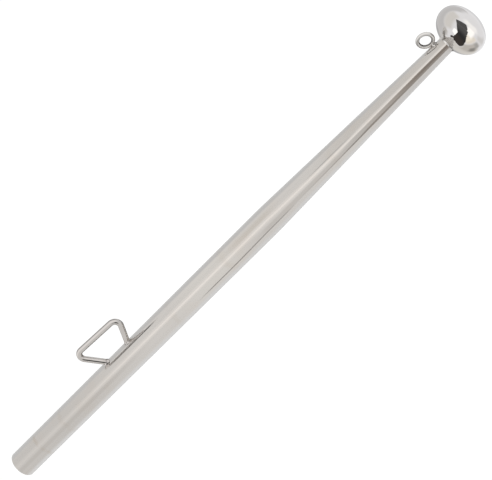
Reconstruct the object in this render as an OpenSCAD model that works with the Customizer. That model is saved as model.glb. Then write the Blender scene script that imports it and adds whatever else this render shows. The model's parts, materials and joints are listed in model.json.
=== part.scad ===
// Flagstaff for a small boat: a polished steel tube that tapers to a round
// ball finial, with a halyard eye just under the ball and a wire loop low
// down where the halyard is made fast.
//
// Frame: Z runs up the pole's axis. The origin is the centre of the flat foot.
// The eye and the loop both stand on the -X side of the tube. The loop lies in
// the XZ plane, and the eye's ring is turned a little about its own foot.
// All lengths are millimetres.

/* [Tube] */
// Outside diameter of the straight part, which drops into the socket
tube_d = 25; // [22:0.5:28]
// Wall thickness of the tube
tube_wall = 1.2; // [1:0.1:1.8]
// Length of the straight part, from the foot up to where the taper starts
straight_len = 318; // [260:1:360]
// Length of the tapered part
taper_len = 197; // [160:1:240]
// Outside diameter at the thin end of the taper
neck_d = 13.8; // [12.8:0.2:16]
// Bevel that eases the foot's outer rim
rim_bevel = 0.4; // [0.2:0.1:0.6]

/* [Ball finial] */
// Largest diameter of the ball
ball_d = 43; // [38:1:50]
// Height of the ball below its widest line
ball_low = 15.8; // [14:0.2:20]
// Height of the ball above its widest line
ball_high = 14.8; // [14:0.2:20]
// Fullness of the ball's outline: 2 is an ellipse, more is squarer
ball_power = 2.06; // [2:0.02:2.3]
// Wall thickness of the ball
ball_wall = 1.2; // [1:0.1:2]

/* [Halyard eye] */
// Diameter of the wire that the eye is bent from
eye_wire_d = 3; // [2.5:0.1:3.6]
// Diameter of the eye's round hole
eye_hole_d = 9.1; // [8:0.1:10]
// Height of the eye's centre above the foot
eye_z = 505.4; // [490:0.1:506]
// Distance from the tube's axis to the centre of the eye
eye_reach = 14.8; // [14.4:0.1:15.4]
// Angle by which the ring hangs outward and down from where it is welded
eye_droop = 26; // [10:1:30]
// Angle by which the ring is turned about that line, away from the XZ plane
eye_twist = 27; // [0:1:40]

/* [Lower loop] */
// Diameter of the wire that the loop is bent from
loop_wire_d = 5.2; // [4:0.1:6]
// Height at which the lower leg meets the tube
loop_foot_low_z = 129.8; // [120:0.1:134]
// Height at which the upper leg meets the tube
loop_foot_high_z = 156.3; // [153:0.1:165]
// Height of the lower outer corner, before it is rounded
loop_corner_low_z = 114.9; // [110:0.1:124]
// Height of the upper outer corner, before it is rounded
loop_corner_high_z = 169.5; // [163:0.1:176]
// Distance from the tube's axis to the lower outer corner
loop_reach_low = 37.8; // [34:0.1:44]
// Distance from the tube's axis to the upper outer corner
loop_reach_high = 34.9; // [34:0.1:44]
// Bend radius at the outer corners, along the middle of the wire
loop_bend_r = 5.4; // [4:0.1:6.5]

/* [Welds] */
// Radius of the bead at each foot of the lower loop
loop_bead_r = 3.8; // [3.4:0.1:4.4]
// Radius of the bead at the foot of the halyard eye
eye_bead_r = 2.8; // [2.6:0.1:3.4]
// Size of the hollow fillet between the tube and the ball
neck_fillet = 0.7; // [0.5:0.1:1.2]

/* [Hidden] */
$fn = 64;
STEEL = [0.80, 0.79, 0.78];
BEAD = [0.72, 0.71, 0.70];
tube_r = tube_d / 2;
bore_r = tube_r - tube_wall;
neck_r = neck_d / 2;
top_z = straight_len + taper_len;
slope = (tube_r - neck_r) / taper_len;

// Outside radius of the tube at height z
function tube_at(z) = z < straight_len ? tube_r : tube_r - slope * (z - straight_len);

// One point of a rounded outline of half-width r and half-height h
function outline(a, r, h, p) = [
    r * pow(abs(cos(a)), 2 / p),
    h * sign(sin(a)) * pow(abs(sin(a)), 2 / p)
];

// Half-height of that outline at a distance x from the axis
function outline_h(x, r, h, p) = h * pow(1 - pow(x / r, p), 1 / p);

ball_r = ball_d / 2;
seat_r = neck_r - tube_wall;
// The ball's widest line stands where its underside meets the tube's mouth
ball_z = top_z + outline_h(seat_r, ball_r, ball_low, ball_power);
ball_step = 2.5;

// Points on the loop and on the eye, as [distance from the axis, height]
function unit(v) = v / norm(v);
loop_low_foot = [tube_r, loop_foot_low_z];
loop_high_foot = [tube_r, loop_foot_high_z];
loop_low_corner = [loop_reach_low, loop_corner_low_z];
loop_high_corner = [loop_reach_high, loop_corner_high_z];
eye_r = (eye_hole_d + eye_wire_d) / 2;
eye_centre = [eye_reach, eye_z];
// Where the middle of the ring's wire comes nearest to the tube
eye_near = eye_centre - eye_r * [cos(eye_droop), -sin(eye_droop)];
eye_foot = [tube_at(eye_near.y), eye_near.y];

// Each straight length of wire is this much thinner than its bends, and goes
// this far into them, so that the two join as one solid
joint_step = 0.01;
joint_lap = 0.1;

// A straight rod between two points of the XZ plane, both [reach, height]
module rod(a, b, r) {
    v = b - a;
    translate([-a.x, 0, a.y])
        rotate([0, atan2(-v.x, v.y), 0])
            cylinder(h = norm(v), r = r);
}

// A bend in the XZ plane round centre c, from angle a0 through sweep degrees.
// Angles turn from the outward direction towards +Z.
module bend(c, major, r, a0, sweep) {
    translate([-c.x, 0, c.y])
        mirror([1, 0, 0])
            rotate([90, 0, 0])
                rotate([0, 0, a0])
                    rotate_extrude(angle = sweep)
                        translate([major, 0])
                            circle(r = r);
}

// A wire that runs from a to b by one rounded corner at c, less the ends
// beyond the bend: gives the bend only. Radius is measured on the wire's middle.
function bend_u(c, a) = unit(a - c);
function half_angle(c, a, b) = acos(bend_u(c, a) * bend_u(c, b)) / 2;
function tangent_len(c, a, b, r) = r / tan(half_angle(c, a, b));
function bend_centre(c, a, b, r) =
    c + unit(bend_u(c, a) + bend_u(c, b)) * r / sin(half_angle(c, a, b));
function heading(v) = atan2(v.y, v.x);

module corner(c, a, b, major, r) {
    o = bend_centre(c, a, b, major);
    t = tangent_len(c, a, b, major);
    h0 = heading(c + bend_u(c, a) * t - o);
    h1 = heading(c + bend_u(c, b) * t - o);
    turn = h1 - h0;
    sweep = turn > 180 ? turn - 360 : turn < -180 ? turn + 360 : turn;
    bend(o, major, r, sweep < 0 ? h0 + sweep : h0, abs(sweep));
}

// The tube's outer form, solid, used to seat whatever is welded to it
module tube_form(grow = 0) {
    cylinder(h = straight_len, r = tube_r + grow);
    translate([0, 0, straight_len])
        cylinder(h = taper_len, r1 = tube_r + grow, r2 = neck_r + grow);
}

// Seamless tube: straight below, drawn down to a long slim taper above, open at the foot
module shaft() {
    color(STEEL)
    difference() {
        union() {
            cylinder(h = rim_bevel, r1 = tube_r - rim_bevel, r2 = tube_r);
            translate([0, 0, rim_bevel])
                cylinder(h = straight_len - rim_bevel, r = tube_r);
            translate([0, 0, straight_len])
                cylinder(h = taper_len, r1 = tube_r, r2 = neck_r);
        }
        translate([0, 0, -1])
            cylinder(h = straight_len + 1, r = bore_r);
        translate([0, 0, straight_len])
            cylinder(h = taper_len, r1 = bore_r, r2 = seat_r);
        translate([0, 0, top_z - 1])
            cylinder(h = 2, r = seat_r);
    }
}

// The ball's outer form, solid
module ball_form() {
    translate([0, 0, ball_z])
        rotate_extrude()
            polygon(concat(
                [[0, -ball_low]],
                [for (a = [-90 + ball_step : ball_step : -ball_step]) outline(a, ball_r, ball_low, ball_power)],
                [[ball_r, 0]],
                [for (a = [ball_step : ball_step : 90 - ball_step]) outline(a, ball_r, ball_high, ball_power)],
                [[0, ball_high]]));
}

// Flattened hollow ball, open underneath where it sits on the tube's mouth
module finial() {
    color(STEEL)
    difference() {
        ball_form();
        translate([0, 0, ball_z])
            rotate_extrude()
                polygon(concat(
                    [[0, -ball_low + ball_wall]],
                    [for (a = [-90 + 3 * ball_step : 3 * ball_step : -3 * ball_step])
                        outline(a, ball_r - ball_wall, ball_low - ball_wall, ball_power)],
                    [[ball_r - ball_wall, 0]],
                    [for (a = [3 * ball_step : 3 * ball_step : 90 - 3 * ball_step])
                        outline(a, ball_r - ball_wall, ball_high - ball_wall, ball_power)],
                    [[0, ball_high - ball_wall]]));
        translate([0, 0, ball_z - ball_low - 1])
            cylinder(h = ball_wall + 3, r = seat_r);
        translate([0, 0, top_z - 4])
            cylinder(h = 4, r = ball_r / 2);
    }
}

// Ring of weld in the corner between the tube's mouth and the ball
module finial_weld() {
    low = top_z - neck_fillet;
    wide = neck_r + neck_fillet + 0.4;
    color(BEAD)
    difference() {
        translate([0, 0, low])
            cylinder(h = neck_fillet + 1.2, r = wide);
        // hollow outer face
        translate([0, 0, low])
            rotate_extrude()
                translate([wide, 0])
                    circle(r = neck_fillet + 0.2);
        translate([0, 0, -1]) cylinder(h = straight_len, r = tube_r);
        translate([0, 0, straight_len])
            cylinder(h = taper_len, r1 = tube_r, r2 = neck_r);
        translate([0, 0, top_z - 0.5])
            cylinder(h = 4, r = neck_r);
        ball_form();
    }
}

// Puts what is drawn round the origin, with the tube on its +X side, where the
// ring stands
module at_ring() {
    translate([-eye_centre.x, 0, eye_centre.y])
        rotate([0, -eye_droop, 0])
            rotate([eye_twist, 0, 0])
                children();
}

// Wire bent into a closed ring
module halyard_eye() {
    color(STEEL)
    difference() {
        at_ring()
            rotate([90, 0, 0])
                rotate([0, 0, 180])
                    rotate_extrude()
                        translate([eye_r, 0])
                            circle(d = eye_wire_d);
        tube_form();
    }
}

// Bead between the tube and the near side of the ring's wire
module eye_weld() {
    color(BEAD)
    difference() {
        translate([-eye_foot.x + 2, 0, eye_foot.y])
            rotate([0, -90, 0])
                cylinder(h = 2.8 + eye_near.x - eye_foot.x,
                         r1 = eye_bead_r, r2 = eye_bead_r * 0.75);
        tube_form();
        at_ring() {
            translate([eye_r, 0, -6])
                cylinder(h = 12, d = eye_wire_d);
            translate([eye_r - 12, -6, -6])
                cube([12, 12, 12]);
        }
    }
}

// One leg of the loop, from inside the tube out to where its bend starts
module loop_leg(foot, near, far) {
    t = tangent_len(near, foot, far, loop_bend_r);
    rod(foot + unit(foot - near) * 3,
        near + unit(foot - near) * (t - joint_lap),
        loop_wire_d / 2 - joint_step);
}

// Wire bent into a flat-topped loop that stands on two legs
module loop_wire() {
    w = loop_wire_d / 2;
    a = loop_low_foot;
    b = loop_low_corner;
    c = loop_high_corner;
    d = loop_high_foot;
    tb = tangent_len(b, a, c, loop_bend_r) - joint_lap;
    tc = tangent_len(c, b, d, loop_bend_r) - joint_lap;
    loop_leg(a, b, c);
    corner(b, a, c, loop_bend_r, w);
    rod(b + unit(c - b) * tb, c + unit(b - c) * tc, w - joint_step);
    corner(c, b, d, loop_bend_r, w);
    loop_leg(d, c, b);
}

module lower_loop() {
    color(STEEL)
    difference() {
        loop_wire();
        cylinder(h = straight_len, r = tube_r);
    }
}

// Bead round one foot of the loop
module loop_bead(foot, near, far) {
    color(BEAD)
    difference() {
        translate([-foot.x, 0, foot.y])
            sphere(r = loop_bead_r);
        cylinder(h = straight_len, r = tube_r);
        loop_leg(foot, near, far);
    }
}

module loop_weld_lower() { loop_bead(loop_low_foot, loop_low_corner, loop_high_corner); }
module loop_weld_upper() { loop_bead(loop_high_foot, loop_high_corner, loop_low_corner); }

shaft();
finial();
finial_weld();
halyard_eye();
eye_weld();
lower_loop();
loop_weld_lower();
loop_weld_upper();
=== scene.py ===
import json
import math

import bpy
import numpy as np
from mathutils import Matrix, Vector

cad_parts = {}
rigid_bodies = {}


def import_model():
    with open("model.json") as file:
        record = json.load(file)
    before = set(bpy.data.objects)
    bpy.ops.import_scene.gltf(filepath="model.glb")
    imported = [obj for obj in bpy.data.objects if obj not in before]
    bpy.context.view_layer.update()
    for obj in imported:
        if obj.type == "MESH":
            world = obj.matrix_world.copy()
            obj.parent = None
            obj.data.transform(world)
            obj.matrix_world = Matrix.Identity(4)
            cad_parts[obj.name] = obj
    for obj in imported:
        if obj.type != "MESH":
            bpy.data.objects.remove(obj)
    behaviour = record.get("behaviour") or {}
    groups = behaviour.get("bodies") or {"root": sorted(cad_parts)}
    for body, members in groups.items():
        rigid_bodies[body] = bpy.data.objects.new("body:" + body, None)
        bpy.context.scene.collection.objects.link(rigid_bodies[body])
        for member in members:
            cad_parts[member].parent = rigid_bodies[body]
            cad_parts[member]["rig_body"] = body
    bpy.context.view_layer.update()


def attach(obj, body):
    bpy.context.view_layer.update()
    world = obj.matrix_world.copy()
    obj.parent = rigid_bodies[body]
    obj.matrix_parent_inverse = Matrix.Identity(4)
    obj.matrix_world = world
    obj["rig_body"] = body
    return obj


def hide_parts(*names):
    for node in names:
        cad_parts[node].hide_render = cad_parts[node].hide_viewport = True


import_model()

MM = 0.001

# ---------------------------------------------------------------- dimensions, mm
TUBE_R, BORE_R = 12.5, 11.3
NECK_R, SEAT_R = 6.9, 5.7
KNEE_Z, TOP_Z = 318.0, 515.0
SLOPE = (TUBE_R - NECK_R) / (TOP_Z - KNEE_Z)
KNEE_SOFT = 9.0
BALL_R, BALL_LOW, BALL_HIGH, BALL_POW, BALL_WALL = 21.5, 15.8, 14.8, 2.06, 1.2
BALL_Z = TOP_Z + BALL_LOW * (1 - (SEAT_R / BALL_R) ** BALL_POW) ** (1 / BALL_POW)

EYE_WIRE_R, EYE_R = 1.5, 6.05
EYE_C = np.array([14.8, 505.4])
EYE_DROOP, EYE_TWIST = 26.0, 27.0
LOOP_WIRE_R, LOOP_BEND_R = 2.6, 5.4
LOOP_PTS = [np.array(p) for p in ((12.5, 129.8), (37.8, 114.9), (34.9, 169.5), (12.5, 156.3))]


def tube_at(z):
    """Outside radius of the tube at height z, with the knee drawn as a soft bend."""
    z = np.asarray(z, float)
    u = z - KNEE_Z
    w = KNEE_SOFT
    soft = SLOPE * (u + w) ** 2 / (4 * w)
    drop = np.where(u <= -w, 0.0, np.where(u >= w, SLOPE * u, soft))
    return TUBE_R - drop


# ---------------------------------------------------------------- mesh helpers
def make_object(name, verts, faces, nodes, material, sharp=None):
    mesh = bpy.data.meshes.new(name)
    mesh.from_pydata([tuple(v) for v in np.asarray(verts, float) * MM], [], faces)
    mesh.validate()
    mesh.update()
    mesh.polygons.foreach_set("use_smooth", [True] * len(mesh.polygons))
    if sharp is not None:
        mesh.set_sharp_from_angle(angle=math.radians(sharp))
    obj = bpy.data.objects.new(name, mesh)
    bpy.context.scene.collection.objects.link(obj)
    mesh.materials.append(material)
    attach(obj, "root")
    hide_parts(*nodes)
    return obj


def lathe(profile, segs, wobble=None):
    """Closed solid turned from a closed loop of (r, z) points, listed so that faces look outward.
    A point with r = 0 becomes one vertex on the axis."""
    verts, rings = [], []
    for k, (r, z) in enumerate(profile):
        if r <= 1e-9:
            rings.append([len(verts)])
            verts.append((0.0, 0.0, z))
            continue
        ring = []
        for i in range(segs):
            a = 2 * math.pi * i / segs
            rr, zz = (r, z) if wobble is None else wobble(k, r, z, a)
            ring.append(len(verts))
            verts.append((rr * math.cos(a), rr * math.sin(a), zz))
        rings.append(ring)
    faces = []
    n = len(rings)
    for k in range(n):
        a, b = rings[k], rings[(k + 1) % n]
        if len(a) == 1 and len(b) == 1:
            continue
        for i in range(segs):
            j = (i + 1) % segs
            if len(a) == 1:
                faces.append((a[0], b[j], b[i]))
            elif len(b) == 1:
                faces.append((a[i], a[j], b[0]))
            else:
                faces.append((a[i], a[j], b[j], b[i]))
    return verts, faces


def arc(cx, cz, r, a0, a1, n):
    return [(cx + r * math.cos(math.radians(a0 + (a1 - a0) * i / n)),
             cz + r * math.sin(math.radians(a0 + (a1 - a0) * i / n))) for i in range(n + 1)]


def sweep(path, radius, segs, end_reach):
    """Round wire along a path in the XZ plane, given as (reach, z). The two ends are cut to the
    tube's own surface, end_reach under it, so that nothing shows inside the tube."""
    path = np.asarray(path, float)
    n = len(path)
    tan = np.zeros_like(path)
    tan[1:-1] = path[2:] - path[:-2]
    tan[0], tan[-1] = path[1] - path[0], path[-1] - path[-2]
    tan /= np.linalg.norm(tan, axis=1)[:, None]
    verts = []
    for k in range(n):
        p3 = np.array([-path[k, 0], 0.0, path[k, 1]])
        t3 = np.array([-tan[k, 0], 0.0, tan[k, 1]])
        side = np.array([0.0, 1.0, 0.0])
        lift = np.cross(t3, side)
        for i in range(segs):
            a = 2 * math.pi * i / segs
            v = p3 + radius * (math.cos(a) * lift + math.sin(a) * side)
            if k in (0, n - 1):
                # slide along the wire until the point sits just under the tube's surface
                d = t3 if k == n - 1 else -t3
                for _ in range(40):
                    gap = math.hypot(v[0], v[1]) - (float(tube_at(v[2])) - end_reach)
                    slope = (v[0] * d[0] + v[1] * d[1]) / max(math.hypot(v[0], v[1]), 1e-6)
                    if abs(gap) < 1e-4 or abs(slope) < 0.05:
                        break
                    v = v - d * gap / slope
            verts.append(v)
    faces = []
    for k in range(n - 1):
        for i in range(segs):
            j = (i + 1) % segs
            faces.append((k * segs + i, k * segs + j, (k + 1) * segs + j, (k + 1) * segs + i))
    faces.append(tuple(reversed(range(segs))))
    faces.append(tuple((n - 1) * segs + i for i in range(segs)))
    return verts, faces


def unit(v):
    v = np.asarray(v, float)
    return v / np.linalg.norm(v)


def rounded_path(pts, r, steps, straight=8):
    """Straight legs joined by arcs of radius r."""
    out = []

    def line(a, b):
        for i in range(straight + 1):
            out.append(a + (b - a) * i / straight)

    start = pts[0]
    for k in range(1, len(pts) - 1):
        c, a, b = pts[k], pts[k - 1], pts[k + 1]
        ua, ub = unit(a - c), unit(b - c)
        half = math.acos(float(ua @ ub)) / 2
        t = r / math.tan(half)
        o = c + unit(ua + ub) * r / math.sin(half)
        p, q = c + ua * t, c + ub * t
        line(start, p)
        h0 = math.atan2(*(p - o)[::-1])
        h1 = math.atan2(*(q - o)[::-1])
        turn = (h1 - h0 + math.pi) % (2 * math.pi) - math.pi
        for i in range(1, steps):
            h = h0 + turn * i / steps
            out.append(o + r * np.array([math.cos(h), math.sin(h)]))
        start = q
    line(start, pts[-1])
    keep = [out[0]]
    for p in out[1:]:
        if np.linalg.norm(p - keep[-1]) > 1e-4:
            keep.append(p)
    return keep


# ---------------------------------------------------------------- node helpers
class Graph:
    """A thin wrapper that builds shader nodes from numbers and sockets."""

    def __init__(self, tree):
        self.t = tree
        tree.nodes.clear()

    def node(self, kind, **inputs):
        n = self.t.nodes.new(kind)
        for key, value in inputs.items():
            self.put(n.inputs[key if not key.isdigit() else int(key)], value)
        return n

    def put(self, socket, value):
        if isinstance(value, bpy.types.NodeSocket):
            self.t.links.new(value, socket)
        elif value is not None:
            socket.default_value = value

    def math(self, op, a, b=None, c=None, clamp=False):
        n = self.t.nodes.new("ShaderNodeMath")
        n.operation = op
        n.use_clamp = clamp
        for i, v in enumerate((a, b, c)):
            if v is not None:
                self.put(n.inputs[i], v)
        return n.outputs[0]

    def step(self, v, lo, hi, a=0.0, b=1.0):
        """Smooth step of v from a at lo to b at hi."""
        n = self.t.nodes.new("ShaderNodeMapRange")
        n.interpolation_type = "SMOOTHSTEP"
        n.clamp = True
        self.put(n.inputs["Value"], v)
        n.inputs["From Min"].default_value = lo
        n.inputs["From Max"].default_value = hi
        n.inputs["To Min"].default_value = a
        n.inputs["To Max"].default_value = b
        return n.outputs["Result"]

    def band(self, v, lo, hi, soft):
        """1 between lo and hi, fading over soft on each side."""
        return self.math("MULTIPLY", self.step(v, lo - soft, lo + soft),
                         self.step(v, hi - soft, hi + soft, 1.0, 0.0))

    def mix(self, fac, a, b, blend="MIX"):
        n = self.t.nodes.new("ShaderNodeMix")
        n.data_type = "RGBA"
        n.blend_type = blend
        self.put(n.inputs[0], fac)
        for i, v in ((6, a), (7, b)):
            if isinstance(v, (tuple, list)) and len(v) == 3:
                v = (*v, 1.0)
            self.put(n.inputs[i], v)
        return n.outputs[2]

    def noise(self, vector, scale, detail=2.0, rough=0.5, dims="3D", distort=0.0):
        n = self.t.nodes.new("ShaderNodeTexNoise")
        n.noise_dimensions = dims
        self.put(n.inputs["Vector"], vector)
        n.inputs["Scale"].default_value = scale
        n.inputs["Detail"].default_value = detail
        n.inputs["Roughness"].default_value = rough
        n.inputs["Distortion"].default_value = distort
        return n.outputs["Fac"]

    def scaled(self, vector, scale):
        n = self.t.nodes.new("ShaderNodeMapping")
        self.put(n.inputs["Vector"], vector)
        n.inputs["Scale"].default_value = scale
        return n.outputs["Vector"]


def new_material(name):
    m = bpy.data.materials.new(name)
    m.use_nodes = True
    return m, Graph(m.node_tree)


def srgb(*c):
    return tuple((x / 255 / 12.92) if x / 255 <= 0.04045 else (((x / 255) + 0.055) / 1.055) ** 2.4 for x in c)


# ---------------------------------------------------------------- steel materials
def steel(name, base, rough, streak, wave, heat_tint_and_shade_spots=(), grain_axis="z"):
    """Polished stainless steel. streak is how much the long polishing marks show, wave how much
    the surface wanders, heat_tint_and_shade_spots a list of (centre, radius, strength) in mm for
    dark brown spots: heat tint near the welds, painted shade where a spot stands for shade."""
    m, g = new_material(name)
    tc = g.node("ShaderNodeTexCoord")
    pos = tc.outputs["Object"]
    sep = g.node("ShaderNodeSeparateXYZ", Vector=pos)
    x, y, z = sep.outputs
    long_marks = g.scaled(pos, (900.0, 900.0, 14.0))
    fine = g.noise(long_marks, 1.0, 3.0, 0.6)
    broad = g.noise(g.scaled(pos, (220.0, 220.0, 6.0)), 1.0, 2.0, 0.5)
    haze = g.noise(pos, 55.0, 3.0, 0.55)
    dots = g.noise(pos, 1400.0, 2.0, 0.5)

    colour = g.mix(g.step(broad, 0.3, 0.7, 0.0, streak), base, tuple(c * 0.90 for c in base))
    colour = g.mix(g.step(haze, 0.45, 0.75, 0.0, streak * 0.6), colour,
                   (base[0] * 0.97, base[1] * 0.90, base[2] * 0.83))
    r = g.math("ADD", g.step(fine, 0.25, 0.8, rough * 0.7, rough * 1.35),
               g.step(haze, 0.5, 0.8, 0.0, rough * 0.5))
    # each spot browns the base colour; near the welds it is heat tint, at the loop's inner bends it is painted shade
    for (cx, cy, cz), radius, strength in heat_tint_and_shade_spots:
        d = g.node("ShaderNodeVectorMath")
        d.operation = "DISTANCE"
        g.put(d.inputs[0], pos)
        d.inputs[1].default_value = (cx * MM, cy * MM, cz * MM)
        edge = g.math("ADD", d.outputs["Value"], g.step(haze, 0.2, 0.8, -0.2 * radius * MM, 0.2 * radius * MM))
        tint_and_shade = g.step(edge, 0.25 * radius * MM, radius * MM, strength, 0.0)
        colour = g.mix(tint_and_shade, colour, (0.34, 0.27, 0.21))
    bump_h = g.math("ADD", g.math("MULTIPLY", fine, 0.35), g.math("MULTIPLY", dots, 0.10))
    bump = g.node("ShaderNodeBump", Height=bump_h)
    bump.inputs["Strength"].default_value = 0.10
    bump.inputs["Distance"].default_value = 0.00002
    slow = g.noise(g.scaled(pos, (150.0, 150.0, 28.0)), 1.0, 1.0, 0.4)
    bump2 = g.node("ShaderNodeBump", Height=slow)
    bump2.inputs["Strength"].default_value = 1.0
    bump2.inputs["Distance"].default_value = wave
    g.put(bump2.inputs["Normal"], bump.outputs["Normal"])
    bsdf = g.node("ShaderNodeBsdfPrincipled")
    bsdf.inputs["Metallic"].default_value = 1.0
    g.put(bsdf.inputs["Base Color"], colour)
    g.put(bsdf.inputs["Roughness"], r)
    g.put(bsdf.inputs["Normal"], bump2.outputs["Normal"])
    out = g.node("ShaderNodeOutputMaterial", Surface=bsdf.outputs[0])
    return m, g, dict(pos=pos, x=x, y=y, z=z, colour=colour, bsdf=bsdf, haze=haze, out=out)


STEEL = (0.640, 0.622, 0.603)

tube_mat, tg, tn = steel("polished_tube", STEEL, 0.055, 0.35, 0.00003, [
    ((-12.5, 0, 130.5), 9.0, 0.14), ((-12.5, 0, 156.5), 9.0, 0.14), ((-7.0, 0, 506.8), 7.0, 0.20)])
# smudge bands left by handling and by the polishing wheel
zc = tn["z"]
wob = tg.math("MULTIPLY", tg.math("SUBTRACT", tg.noise(tn["pos"], 60.0, 2.0, 0.5), 0.5), 0.006)
zz = tg.math("ADD", zc, wob)
patch = tg.step(tg.noise(tn["pos"], 90.0, 2.0, 0.5), 0.35, 0.65)
col = tn["colour"]
for zmid, half, amount in ((0.0315, 0.0016, 0.30), (0.0640, 0.0020, 0.14), (0.2050, 0.0022, 0.10),
                           (0.2700, 0.0030, 0.14), (0.3900, 0.0040, 0.10)):
    b = tg.band(zz, zmid - half, zmid + half, half * 0.9)
    b = tg.math("MULTIPLY", tg.math("MULTIPLY", b, patch), amount)
    col = tg.mix(b, col, (0.47, 0.39, 0.30))
# heat colour in the last few millimetres under the neck weld
neck = tg.step(zz, 0.5085, 0.5150, 0.0, 0.15)
col = tg.mix(neck, col, (0.36, 0.29, 0.23))
tg.put(tn["bsdf"].inputs["Base Color"], col)

ball_mat, bg_, bn = steel("polished_ball", (0.660, 0.645, 0.630), 0.035, 0.12, 0.00001, [
    ((0, 0, 514.5), 11.5, 0.18)])
# the two spots by the wire's feet are heat tint; the two strong spots at the loop's inner bends are painted shade
wire_mat, wg_, wn = steel("polished_wire", (0.640, 0.625, 0.605), 0.050, 0.30, 0.00001, [
    ((-13.5, 0, 130.0), 5.0, 0.16), ((-13.5, 0, 157.0), 5.0, 0.16), ((-33.0, 0.5, 122.5), 3.4, 0.75), ((-30.5, 0.5, 163.0), 3.4, 0.6)])
eye_mat, eg_, en = steel("polished_ring", (0.650, 0.640, 0.625), 0.050, 0.30, 0.00001, [
    ((-8.5, 0, 506.5), 3.6, 0.20)])
# painted shade: the inner edge of the ring is darkened in the base colour to stand for shade and dark reflections
mid = eg_.node("ShaderNodeVectorMath")
mid.operation = "DISTANCE"
eg_.put(mid.inputs[0], en["pos"])
mid.inputs[1].default_value = (-EYE_C[0] * MM, 0.0, EYE_C[1] * MM)
inside = eg_.step(mid.outputs["Value"], (EYE_R - 1.25) * MM, (EYE_R - 0.35) * MM, 0.88, 0.0)
# painted shade: a dark spot at the ring's top inner side
top_in = eg_.node("ShaderNodeVectorMath")
top_in.operation = "DISTANCE"
eg_.put(top_in.inputs[0], en["pos"])
top_in.inputs[1].default_value = (-18.1 * MM, -2.0 * MM, 508.2 * MM)
painted_shade_spot = eg_.step(top_in.outputs["Value"], 0.9 * MM, 2.3 * MM, 0.85, 0.0)
inside = eg_.math("MAXIMUM", inside, painted_shade_spot)
eg_.put(en["bsdf"].inputs["Base Color"], eg_.mix(inside, en["colour"], (0.10, 0.095, 0.09)))

weld_mat, wd_, wdn = steel("weld_bead", (0.700, 0.685, 0.665), 0.110, 0.50, 0.00002)
# dark scale caught between the ripples
scale = wd_.step(wd_.noise(wdn["pos"], 520.0, 2.0, 0.5), 0.44, 0.56, 0.0, 0.80)
scale = wd_.math("MULTIPLY", scale, wd_.step(wdn["z"], 0.510, 0.513, 1.0, 0.35))
wd_.put(wdn["bsdf"].inputs["Base Color"], wd_.mix(scale, wdn["colour"], (0.085, 0.08, 0.078)))


# ---------------------------------------------------------------- shaft
def shaft_profile():
    p = []
    # foot: inner rim, flat annulus, eased outer rim
    p += [(BORE_R + 0.25, 0.0), (BORE_R + 0.32, 0.0)]
    p += [(TUBE_R - 0.50, 0.0), (TUBE_R - 0.42, 0.0)]
    p += arc(TUBE_R - 0.40, 0.40, 0.40, -90, 0, 8)[1:]
    p += [(TUBE_R, 0.48), (TUBE_R, 1.0)]
    zs = list(np.linspace(4.0, KNEE_Z - KNEE_SOFT, 60)) + \
        list(np.linspace(KNEE_Z - KNEE_SOFT, KNEE_Z + KNEE_SOFT, 19))[1:] + \
        list(np.linspace(KNEE_Z + KNEE_SOFT, TOP_Z - 0.6, 40))[1:]
    p += [(float(tube_at(z)), z) for z in zs]
    # mouth, hidden in the ball
    p += [(NECK_R, TOP_Z - 0.15), (NECK_R - 0.1, TOP_Z), (SEAT_R + 0.1, TOP_Z), (SEAT_R, TOP_Z - 0.1)]
    # bore
    p += [(SEAT_R, TOP_Z - 0.6)]
    for z in np.linspace(TOP_Z - 2, KNEE_Z, 30):
        p.append((BORE_R - SLOPE * (z - KNEE_Z) if z > KNEE_Z else BORE_R, z))
    for z in np.linspace(KNEE_Z - 10, 3.0, 24):
        p.append((BORE_R, z))
    p += [(BORE_R, 0.40), (BORE_R, 0.30)]
    p += arc(BORE_R + 0.25, 0.25, 0.25, 180, 270, 6)[1:-1]
    return p


sv, sf = lathe(shaft_profile(), 192)
shaft = make_object("shaft_tube", sv, sf, ["shaft"], tube_mat, sharp=35)


# ---------------------------------------------------------------- finial
def outline(a, r, h, p):
    s, c = math.sin(a), math.cos(a)
    return (r * abs(c) ** (2 / p), h * math.copysign(abs(s) ** (2 / p), s))


def outline_a(x, r, p):
    """Angle below the widest line at which the outline is x from the axis."""
    return -math.acos((x / r) ** (p / 2))


def ball_profile():
    p = []
    a0 = outline_a(SEAT_R, BALL_R, BALL_POW)
    n = 60
    for i in range(n + 1):
        a = a0 * (1 - i / n)
        r, z = outline(a, BALL_R, BALL_LOW, BALL_POW)
        p.append((r, BALL_Z + z))
    for i in range(1, 61):
        a = math.pi / 2 * i / 60
        r, z = outline(a, BALL_R, BALL_HIGH, BALL_POW)
        p.append((r if i < 60 else 0.0, BALL_Z + z))
    ri, hl, hh = BALL_R - BALL_WALL, BALL_LOW - BALL_WALL, BALL_HIGH - BALL_WALL
    for i in range(0, 30):
        a = math.pi / 2 * (1 - i / 30)
        r, z = outline(a, ri, hh, BALL_POW)
        p.append((r if i > 0 else 0.0, BALL_Z + z))
    b0 = outline_a(SEAT_R, ri, BALL_POW)
    for i in range(0, 31):
        a = b0 * i / 30
        r, z = outline(a, ri, hl, BALL_POW)
        p.append((r, BALL_Z + z))
    p.append((SEAT_R, (p[-1][1] + p[0][1]) / 2))
    return p


fv, ff = lathe(ball_profile(), 224)
finial = make_object("ball_finial", fv, ff, ["finial"], ball_mat, sharp=40)


# ---------------------------------------------------------------- neck weld
def ball_under(r):
    """Height of the ball's underside at radius r."""
    return BALL_Z - BALL_LOW * (1 - (r / BALL_R) ** BALL_POW) ** (1 / BALL_POW)


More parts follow.
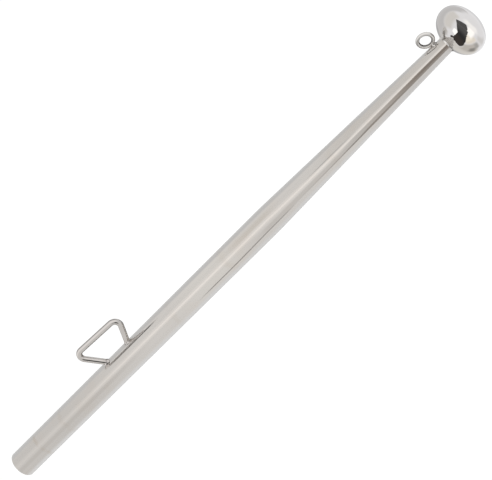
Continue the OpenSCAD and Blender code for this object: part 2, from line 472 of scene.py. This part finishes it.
def ripple(a, seed, n):
    """Small seeded waviness round a bead: n main ripples and a few slower ones."""
    rng = np.random.default_rng(seed)
    ph = rng.uniform(0, 2 * math.pi, 5)
    return (0.55 * math.cos(n * a + ph[0] + 0.6 * math.sin(2 * a + ph[1])) +
            0.30 * math.cos(3 * a + ph[2]) + 0.25 * math.cos(5 * a + ph[3]) +
            0.15 * math.cos((2 * n + 1) * a + ph[4]))


def neck_weld():
    zl, rh = 514.2, 7.85
    a = np.array([float(tube_at(zl)) - 0.05, zl])
    b = np.array([rh, ball_under(rh) + 0.05])
    corner = np.array([NECK_R, ball_under(NECK_R)])
    pts, kind = [], []
    n = 14
    for i in range(n + 1):
        t = i / n
        # quadratic curve pulled towards the corner: a hollow fillet
        q = (1 - t) ** 2 * a + 2 * t * (1 - t) * (corner + np.array([0.30, -0.22])) + t ** 2 * b
        pts.append(tuple(q))
        kind.append(math.sin(math.pi * t))
    inner = [(rh - 0.25, ball_under(rh - 0.25) + 0.22), (NECK_R + 0.2, ball_under(NECK_R) + 0.30),
             (NECK_R - 0.4, ball_under(NECK_R) - 0.1), (NECK_R - 0.4, zl + 0.5),
             (float(tube_at(zl)) - 0.22, zl + 0.08)]
    pts += inner
    kind += [0.0] * len(inner)
    segs = 256

    def wobble(k, r, z, ang):
        w = 0.035 * kind[k] * ripple(ang, 11, 34)
        return r + w * 0.7, z - w * 0.7

    return lathe(pts, segs, wobble)


nv, nf = neck_weld()
neck_ring = make_object("neck_weld_ring", nv, nf, ["finial_weld"], weld_mat)


# ---------------------------------------------------------------- lower loop
loop_pts = [p.copy() for p in LOOP_PTS]
loop_path = rounded_path(loop_pts, LOOP_BEND_R, 30)
lv, lf = sweep(loop_path, LOOP_WIRE_R, 48, 0.5)
loop = make_object("lower_loop_wire", lv, lf, ["lower_loop"], wire_mat, sharp=50)


# ---------------------------------------------------------------- halyard eye
def eye_axes():
    """The ring's own axes: out from the tube along the droop, across, and its normal."""
    dr, tw = math.radians(EYE_DROOP), math.radians(EYE_TWIST)
    inward = np.array([math.cos(dr), 0.0, math.sin(dr)])
    lift = np.array([-math.sin(dr), 0.0, math.cos(dr)])
    side = np.array([0.0, 1.0, 0.0])
    across = math.cos(tw) * lift - math.sin(tw) * side
    normal = math.cos(tw) * side + math.sin(tw) * lift
    return inward, across, normal


EYE_POS = np.array([-EYE_C[0], 0.0, EYE_C[1]])
eye_in, eye_across, eye_normal = eye_axes()
eye_near = EYE_POS + EYE_R * eye_in
eye_foot = np.array([float(tube_at(eye_near[2])), eye_near[2]])


def eye_ring(segs=144, sides=40):
    """Closed ring of wire. Hand bending leaves it a little out of round, with the joint at its foot."""
    verts, faces = [], []
    for i in range(segs):
        a = 2 * math.pi * i / segs
        r = EYE_R * (1.0 + 0.008 * math.cos(2 * a + 0.7) + 0.005 * math.cos(3 * a + 1.9))
        u = math.cos(a) * eye_in + math.sin(a) * eye_across
        c = EYE_POS + r * u
        for j in range(sides):
            b = 2 * math.pi * j / sides
            w = EYE_WIRE_R * (1.0 + 0.012 * math.cos(5 * a + 2 * b))
            verts.append(c + w * (math.cos(b) * u + math.sin(b) * eye_normal))
    for i in range(segs):
        k = (i + 1) % segs
        for j in range(sides):
            m = (j + 1) % sides
            faces.append((i * sides + j, i * sides + m, k * sides + m, k * sides + j))
    return verts, faces


ev, ef = eye_ring()
eye = make_object("halyard_eye_ring", ev, ef, ["halyard_eye"], eye_mat)


# ---------------------------------------------------------------- weld beads at the wire feet
def bead(name, node, foot, away, wire_r, top, wide, seed, ripples, apex=0.8):
    """A rippled collar of weld round a wire's foot: it climbs the wire by about top and spreads
    over the tube by about wide, measured from the wire's middle."""
    o = np.array([-foot[0], 0.0, foot[1]])
    axis = unit([-away[0], 0.0, away[1]])
    side = np.array([0.0, 1.0, 0.0])
    lift = np.cross(axis, side)
    segs, rows = 96, 14
    verts = []
    radial = unit([o[0], 0, 0])

    def ground(v, depth):
        """Move a point on to the tube's surface, less depth, along the tube's radius."""
        r = math.hypot(v[0], v[1])
        want = float(tube_at(v[2])) - depth
        k = want / r
        return np.array([v[0] * k, v[1] * k, v[2]])

    for j in range(rows + 1):
        t = j / rows
        for i in range(segs):
            a = 2 * math.pi * i / segs
            w = ripple(a, seed, ripples)
            slow = ripple(a, seed + 5, 3)
            rad_dir = math.cos(a) * lift + math.sin(a) * side
            # start on the wire, end on the tube
            up = o + axis * (top * (1 + 0.16 * slow)) + rad_dir * (wire_r - 0.05)
            base = ground(o + rad_dir * (wide * (1 + 0.08 * slow + 0.035 * w)), 0.06)
            mid = ground(o + rad_dir * (wire_r + 0.45 * (wide - wire_r)), 0.0) + radial * 0.25 + axis * 0.20 * top
            q = (1 - t) ** 2 * up + 2 * t * (1 - t) * mid + t ** 2 * base
            fat = math.sin(math.pi * t)
            q = q + (rad_dir * 0.6 + radial * 0.6) * (0.10 * wire_r * fat * (1.0 + 0.45 * w))
            verts.append(q)
    faces = []
    for j in range(rows):
        for i in range(segs):
            k = (i + 1) % segs
            faces.append((j * segs + i, (j + 1) * segs + i, (j + 1) * segs + k, j * segs + k))
    # hidden ends: one inside the wire, one inside the tube's wall
    inner = o + axis * (top * apex)
    low_ring = len(verts)
    for i in range(segs):
        a = 2 * math.pi * i / segs
        rad_dir = math.cos(a) * lift + math.sin(a) * side
        verts.append(ground(o + rad_dir * (wide * 0.92), 0.45))
    for i in range(segs):
        k = (i + 1) % segs
        faces.append((rows * segs + i, low_ring + i, low_ring + k, rows * segs + k))
    c_low, c_up = len(verts), len(verts) + 1
    verts.append(ground(o, 0.55))
    verts.append(inner)
    for i in range(segs):
        k = (i + 1) % segs
        faces.append((low_ring + i, c_low, low_ring + k))
        faces.append((i, k, c_up))
    return make_object(name, verts, faces, [node], weld_mat)


bead("lower_foot_bead", "loop_weld_lower", LOOP_PTS[0], LOOP_PTS[1] - LOOP_PTS[0], LOOP_WIRE_R, 1.6, 3.75, 3, 9)
bead("upper_foot_bead", "loop_weld_upper", LOOP_PTS[3], LOOP_PTS[2] - LOOP_PTS[3], LOOP_WIRE_R, 1.6, 3.75, 7, 9)
eye_bead = bead("eye_foot_bead", "eye_weld", eye_foot, np.array([1.0, 0.0]), 1.35, 1.85, 2.65, 21, 7, 1.12)


# ---------------------------------------------------------------- camera
cam = bpy.data.cameras.new("camera")
cam.lens = 60.0
cam.sensor_width = 36.0
cam.clip_start = 0.01
cam.clip_end = 50.0
cam_obj = bpy.data.objects.new("camera", cam)
bpy.context.scene.collection.objects.link(cam_obj)
CAM_POS = Vector((-0.263199, -0.615771, 0.430658))
right = Vector((0.704256, -0.142990, 0.695397))
up = Vector((-0.598011, 0.408432, 0.689613))
back = right.cross(up)
cam_obj.matrix_world = Matrix((
    (right.x, up.x, back.x, CAM_POS.x),
    (right.y, up.y, back.y, CAM_POS.y),
    (right.z, up.z, back.z, CAM_POS.z),
    (0, 0, 0, 1)))
bpy.context.scene.camera = cam_obj


# ---------------------------------------------------------------- studio
scene = bpy.context.scene
scene.view_settings.view_transform = "Standard"
scene.view_settings.look = "None"
scene.view_settings.exposure = 0.0
scene.view_settings.gamma = 1.0

world = bpy.data.worlds.new("studio")
world.use_nodes = True
wg = Graph(world.node_tree)
bgn = wg.node("ShaderNodeBackground")
bgn.inputs["Color"].default_value = (1.0, 1.0, 1.0, 1.0)
bgn.inputs["Strength"].default_value = 1.05
wg.node("ShaderNodeOutputWorld", Surface=bgn.outputs[0])
scene.world = world


def stage_mesh(name, verts, faces, material):
    mesh = bpy.data.meshes.new(name)
    mesh.from_pydata(verts, [], faces)
    mesh.update()
    mesh.polygons.foreach_set("use_smooth", [True] * len(mesh.polygons))
    obj = bpy.data.objects.new(name, mesh)
    bpy.context.scene.collection.objects.link(obj)
    mesh.materials.append(material)
    return obj


# floor: plain, pale, evenly lit
floor_mat, fg = new_material("floor_white")
em = fg.node("ShaderNodeEmission")
em.inputs["Color"].default_value = (1.0, 1.0, 1.0, 1.0)
em.inputs["Strength"].default_value = 1.05
fg.node("ShaderNodeOutputMaterial", Surface=em.outputs[0])
floor_mat.cycles.emission_sampling = "NONE"
floor = stage_mesh("floor", [(-6, -6, 0), (6, -6, 0), (6, 6, 0), (-6, 6, 0)], [(0, 1, 2, 3)], floor_mat)
floor.visible_glossy = False
floor.visible_diffuse = False


def shell(name, radius, centre, material, receivers):
    """A soft light tent round the object. Only the pieces named see its light."""
    segs, rings = 96, 48
    verts, faces = [], []
    for j in range(rings + 1):
        e = -math.pi / 2 + math.pi * j / rings
        for i in range(segs):
            a = 2 * math.pi * i / segs
            verts.append((centre[0] + radius * math.cos(e) * math.cos(a),
                          centre[1] + radius * math.cos(e) * math.sin(a),
                          centre[2] + radius * math.sin(e)))
    for j in range(rings):
        for i in range(segs):
            k = (i + 1) % segs
            faces.append((j * segs + i, (j + 1) * segs + i, (j + 1) * segs + k, j * segs + k))
    obj = stage_mesh(name, verts, faces, material)
    obj.visible_camera = False
    obj.visible_shadow = True
    group = bpy.data.collections.new(name + "_lights")
    for r in receivers:
        group.objects.link(r)
    obj.light_linking.receiver_collection = group
    return obj


def directions(g, centre):
    """Azimuth and elevation, in degrees, of a point of the tent seen from centre."""
    tc = g.node("ShaderNodeTexCoord")
    v = g.node("ShaderNodeVectorMath")
    v.operation = "SUBTRACT"
    g.put(v.inputs[0], tc.outputs["Object"])
    v.inputs[1].default_value = centre
    nrm = g.node("ShaderNodeVectorMath")
    nrm.operation = "NORMALIZE"
    g.put(nrm.inputs[0], v.outputs[0])
    sep = g.node("ShaderNodeSeparateXYZ", Vector=nrm.outputs[0])
    x, y, z = sep.outputs
    az = g.math("MULTIPLY_ADD", g.math("ARCTAN2", x, g.math("MULTIPLY", y, -1.0)), 57.29578, -4.0)
    el = g.math("MULTIPLY", g.math("ARCSINE", z), 57.29578)
    return az, el, nrm.outputs[0]


def convex(g, az, el, pts, soft):
    """Mask of a convex outline in azimuth and elevation, listed anticlockwise."""
    m = None
    n = len(pts)
    for i in range(n):
        (x0, y0), (x1, y1) = pts[i], pts[(i + 1) % n]
        length = math.hypot(x1 - x0, y1 - y0)
        nx, ny = -(y1 - y0) / length, (x1 - x0) / length
        d = g.math("ADD", g.math("MULTIPLY", az, nx), g.math("MULTIPLY_ADD", el, ny, -(nx * x0 + ny * y0)))
        s = g.step(d, -soft, soft)
        m = s if m is None else g.math("MULTIPLY", m, s)
    return m


# tent seen by the tube: even, a little warm on the near side, darker straight behind
tent_mat, g = new_material("tent_tube")
CEN_T = (0.0, 0.0, 0.270)
az, el, dirv = directions(g, CEN_T)
c = (0.95, 0.935, 0.915)
c = g.mix(g.step(el, -24, -34), c, (0.86, 0.845, 0.825))
c = g.mix(g.math("MULTIPLY", g.band(el, -19, -12.5, 2.5), g.band(az, -150, 60, 20)), c, (1.00, 0.985, 0.955))
c = g.mix(g.math("MULTIPLY", g.band(el, -12, -5, 2), g.band(az, -100, -45, 18)), c, (0.90, 0.865, 0.815))
c = g.mix(g.math("MULTIPLY", g.step(el, 0, 7), g.band(az, -130, -45, 18)), c, (0.87, 0.850, 0.820))
c = g.mix(g.band(az, -200, -122, 12), c, (0.80, 0.805, 0.81))
c = g.mix(g.band(az, 72, 130, 16), c, (0.97, 0.98, 0.99))
c = g.mix(g.band(az, 112, 140, 12), c, (0.84, 0.84, 0.85))
c = g.mix(g.band(az, 134, 198, 12), c, (0.60, 0.60, 0.605))
c = g.mix(g.math("MULTIPLY", g.band(az, -14, 16, 8), g.step(el, -22, -32)), c, (0.80, 0.78, 0.755))
c = g.mix(g.step(el, -38, -46), c, (0.84, 0.825, 0.81))
c = g.mix(g.math("MULTIPLY", g.band(az, -106, -94, 3), g.band(el, -27.9, -22.6, 0.6)), c, (0.20, 0.195, 0.195))
c = g.mix(g.math("MULTIPLY", g.band(az, 40, 120, 12), g.step(el, 4, 12)), c, (0.88, 0.875, 0.88))
# the long pale streak left of the middle
lean = g.math("ADD", az, g.step(el, -7, 1, 0.0, -8.0))
c = g.mix(g.math("MULTIPLY", g.band(lean, -58, -20, 7), g.step(el, -36, -20, 0.25, 0.9)), c, (1.08, 1.05, 1.02))
c = g.mix(g.math("MULTIPLY", g.band(lean, -43, -30, 4), g.step(el, -36, -18, 0.15, 1.0)), c, (1.24, 1.20, 1.16))
c = g.mix(g.math("MULTIPLY", g.band(az, -52, -44, 2.5), g.band(el, 1.0, 6.0, 1.5)), c, (0.66, 0.65, 0.64))
# the thin dark line on the right of the middle
line = g.math("ADD", az, g.step(el, -14, -8, 0.0, 9.0))
c = g.mix(g.math("MULTIPLY", g.band(line, 35, 43.5, 2.5), g.band(el, -17.2, -3.0, 1.2)), c, (0.44, 0.42, 0.41))
c = g.mix(g.math("MULTIPLY", g.band(az, -4, 27, 6), g.band(el, -9.5, 8.0, 2.5)), c, (0.82, 0.80, 0.775))
c = g.mix(g.math("MULTIPLY", g.band(az, 23, 33, 3), g.step(el, -4, 5)), c, (0.56, 0.53, 0.51))
# darker patches that the slim end mirrors
c = g.mix(g.math("MULTIPLY", g.band(az, -20, 22, 7), g.step(el, 3.5, 7)), c, (0.74, 0.72, 0.695))
c = g.mix(g.math("MULTIPLY", g.band(az, 20, 28, 3), g.step(el, 3.5, 5.5)), c, (0.34, 0.32, 0.30))
c = g.mix(g.math("MULTIPLY", g.band(az, -21, 27, 9), g.step(el, 6.5, 12)), c, (0.57, 0.53, 0.49))
c = g.mix(g.math("MULTIPLY", g.band(az, 12, 25, 3), g.step(el, 6.0, 8)), c, (0.42, 0.385, 0.355))
c = g.mix(g.math("MULTIPLY", g.band(az, -22, 11, 8), g.step(el, 10, 15)), c, (0.33, 0.29, 0.26))
em = g.node("ShaderNodeEmission", Color=c)
g.node("ShaderNodeOutputMaterial", Surface=em.outputs[0])
tent_mat.cycles.emission_sampling = "NONE"
shell("tent_tube", 1.9, CEN_T, tent_mat, [shaft])


def clear_tent(name, radius, centre, g, colour, material, receivers):
    """A tent that lets the light of the ones outside it through."""
    em = g.node("ShaderNodeEmission", Color=colour)
    tr = g.node("ShaderNodeBsdfTransparent")
    add = g.node("ShaderNodeAddShader")
    g.put(add.inputs[0], em.outputs[0])
    g.put(add.inputs[1], tr.outputs[0])
    g.node("ShaderNodeOutputMaterial", Surface=add.outputs[0])
    material.cycles.emission_sampling = "NONE"
    return shell(name, radius, centre, material, receivers)


# tent seen by the ball: bright above and to the right, with the dark room behind the camera
tent2_mat, g = new_material("tent_ball")
CEN_B = (0.0, 0.0, BALL_Z * MM)
az, el, dirv = directions(g, CEN_B)
B, M, S = g.band, lambda *v: g.math("MULTIPLY", *v), g.step
c = (1.08, 1.08, 1.105)
c = g.mix(M(B(az, -205, -122, 14), B(el, -52, 62, 10)), c, (0.75, 0.745, 0.75))
c = g.mix(M(B(az, -122, -72, 12), B(el, -54, 34, 10)), c, (0.91, 0.885, 0.85))
c = g.mix(M(B(az, -172, -122, 12), B(el, -68, -50, 6)), c, (0.68, 0.655, 0.625))
c = g.mix(M(B(az, 104, 205, 14), S(el, 4, -10)), c, (0.88, 0.855, 0.81))
c = g.mix(M(B(az, 158, 205, 10), B(el, -50, -6, 10)), c, (0.79, 0.78, 0.77))
c = g.mix(M(B(az, 56, 112, 10), B(el, -56, -2, 8)), c, (0.72, 0.685, 0.64))
c = g.mix(M(B(az, 60, 94, 9), B(el, -10, 7, 6)), c, (0.56, 0.55, 0.53))
c = g.mix(M(B(az, 82, 106, 7), B(el, -30, -10, 6)), c, (0.37, 0.355, 0.335))
c = g.mix(M(B(az, 50, 112, 12), B(el, 14, 34, 8)), c, (0.90, 0.89, 0.885))
c = g.mix(M(B(az, -50, 42, 16), B(el, 34, 60, 8)), c, (1.34, 1.325, 1.31))
c = g.mix(M(B(az, 26, 52, 7), B(el, -44, 10, 8)), c, (1.10, 1.03, 0.92))
c = g.mix(M(B(az, 2, 36, 7), B(el, -40, -2, 7)), c, (1.28, 1.21, 1.06))
c = g.mix(M(B(az, -14, 28, 8), B(el, -8, 34, 8)), c, (1.56, 1.53, 1.49))
c = g.mix(convex(g, az, el, [(-64, -60), (-24, -76), (-30, -42), (-44, -37), (-58, -39)], 3.0), c, (1.60, 1.59, 1.57))
# straight behind, which only the rim mirrors
c = g.mix(M(B(az, 138, 196, 8), B(el, -26, 26, 7)), c, (0.55, 0.55, 0.56))
c = g.mix(M(B(az, 132, 172, 8), B(el, 24, 44, 6)), c, (0.86, 0.86, 0.88))
room = g.mix(S(el, -8, -42), (0.118, 0.116, 0.115), (0.043, 0.042, 0.043))
room = g.mix(S(el, -44, -62), room, (0.062, 0.053, 0.049))
dark = None
for pts, soft in (
        ([(-73, 9), (-60, -6), (0, 4), (-10, 14), (-16, 32), (-24, 31), (-45, 24)], 1.3),
        ([(-60, -5), (-50, -22), (-40, -36), (-31, -45), (10, -24), (5, -9), (-1, 5)], 1.3),
        ([(-33, -95), (12, -95), (12, -17), (-31, -40)], 1.5),
        ([(-50, -95), (-30, -95), (-31, -62)], 1.5),
        ([(8, -95), (26, -95), (26, -37), (8, -20)], 1.5),
        ([(22, -95), (50, -95), (50, -51), (22, -33)], 1.6),
        ([(46, -95), (104, -95), (101, -60), (46, -49.5)], 1.8),
        ([(-210, -95), (210, -95), (210, -80.5), (-210, -80.5)], 1.5)):
    d = convex(g, az, el, pts, soft)
    dark = d if dark is None else g.math("MAXIMUM", dark, d)
c = g.mix(dark, c, room)
clear_tent("tent_ball", 1.3, CEN_B, g, c, tent2_mat, [finial])

# tent seen by the wires and the welds: even, with a few dark strips
tent3_mat, g = new_material("tent_wire")
CEN_W = (0.0, 0.0, 0.300)
az, el, dirv = directions(g, CEN_W)
B, M, S = g.band, lambda *v: g.math("MULTIPLY", *v), g.step
c = (0.84, 0.82, 0.805)
c = g.mix(B(az, -92, -26, 16), c, (1.12, 1.08, 1.07))
c = g.mix(M(B(az, 62, 214, 12), B(el, -60, 50, 12)), c, (0.24, 0.235, 0.235))
c = g.mix(M(B(az, -156, -106, 12), B(el, -60, 50, 12)), c, (0.44, 0.435, 0.435))
c = g.mix(convex(g, az, el, [(-16, 10), (-2, -24), (14, -27), (4, 10)], 4.0), c, (0.05, 0.048, 0.046))
c = g.mix(M(B(az, 58, 104, 8), B(el, 12, 42, 8)), c, (0.09, 0.085, 0.08))
c = g.mix(S(el, 48, 66), c, (0.80, 0.79, 0.80))
high = [eye, neck_ring, eye_bead]
wires = [o for o in bpy.data.objects if o.type == "MESH" and o.get("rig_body") and o not in [shaft, finial] + high]
clear_tent("tent_wire", 1.1, CEN_W, g, c, tent3_mat, wires)

# tent seen by the ring, its bead and the neck weld: pale in front, dark behind
tent4_mat, g = new_material("tent_ring")
CEN_R = (0.0, 0.0, 0.500)
az, el, dirv = directions(g, CEN_R)
B, M, S = g.band, lambda *v: g.math("MULTIPLY", *v), g.step
c = (0.92, 0.91, 0.90)
c = g.mix(M(B(az, 98, 236, 14), B(el, -60, 58, 12)), c, (0.30, 0.295, 0.29))
c = g.mix(M(B(az, 20, 100, 10), B(el, -76, -34, 8)), c, (0.36, 0.35, 0.34))
c = g.mix(B(az, -90, -20, 18), c, (1.22, 1.20, 1.18))
clear_tent("tent_ring", 0.9, CEN_R, g, c, tent4_mat, high)
